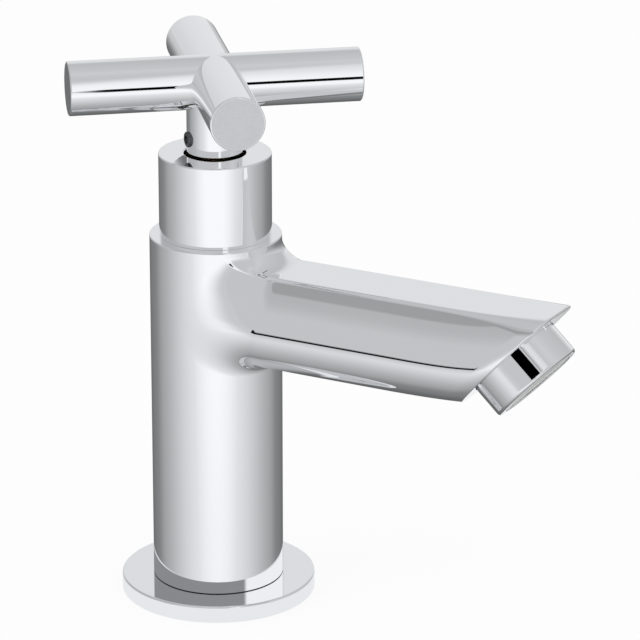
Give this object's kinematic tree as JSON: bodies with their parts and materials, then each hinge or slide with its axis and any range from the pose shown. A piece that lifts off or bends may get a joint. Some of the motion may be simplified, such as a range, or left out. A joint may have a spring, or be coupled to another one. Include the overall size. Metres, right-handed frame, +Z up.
{
  "type": "cross handle basin tap",
  "caption": "Chromed pillar tap for a basin: upright column with a cast spout and angled aerator, turned by a cross handle on a quarter-turn valve.",
  "frame": {"origin": "on the tap's axis at deck level, in the plane of the flange's underside", "axes": "+Z up along the column, +X out along the spout"},
  "size_m": [0.1322, 0.0656, 0.1917],
  "materials": {
    "chrome": "bright polished chromium plate on brass",
    "turned_brass": "turned yellow brass with fine tool marks",
    "black_rubber": "moulded black sealing rubber",
    "red_fibre": "pressed red fibre",
    "spring_steel": "plain bright steel",
    "dark_steel": "dark hardened steel",
    "white_plastic": "moulded white acetal",
    "ceramic": "lapped alumina"
  },
  "bodies": {
    "tap": {"base_flange": "chrome", "tap_body": "chrome", "shroud": "chrome", "aerator_housing": "chrome", "inlet_shank": "turned_brass", "backnut": "turned_brass", "headpart_bonnet": "turned_brass", "deck_gasket": "black_rubber", "shank_seal": "black_rubber", "deck_washer": "black_rubber", "seat_seal": "black_rubber", "shroud_o_ring": "black_rubber", "aerator_gasket": "black_rubber", "bonnet_gasket": "red_fibre", "backing_washer": "spring_steel", "outlet_screen": "spring_steel", "aerator_insert": "white_plastic", "aerator_diffuser": "white_plastic", "fixed_ceramic_disc": "ceramic"},
    "handle": {"cross_handle": "chrome", "handle_grub_screw": "dark_steel", "spline_adaptor": "turned_brass", "spindle": "turned_brass", "spindle_o_rings": "black_rubber", "slip_washer": "white_plastic", "spindle_circlip": "spring_steel", "rotating_ceramic_disc": "ceramic"}
  },
  "joints": [
    {"name": "handle_turn", "type": "hinge", "parent": "tap", "child": "handle", "pos_m": [0, 0, 0.1], "axis": [0, 0, 1], "range_deg": [0, 90]}
  ]
}
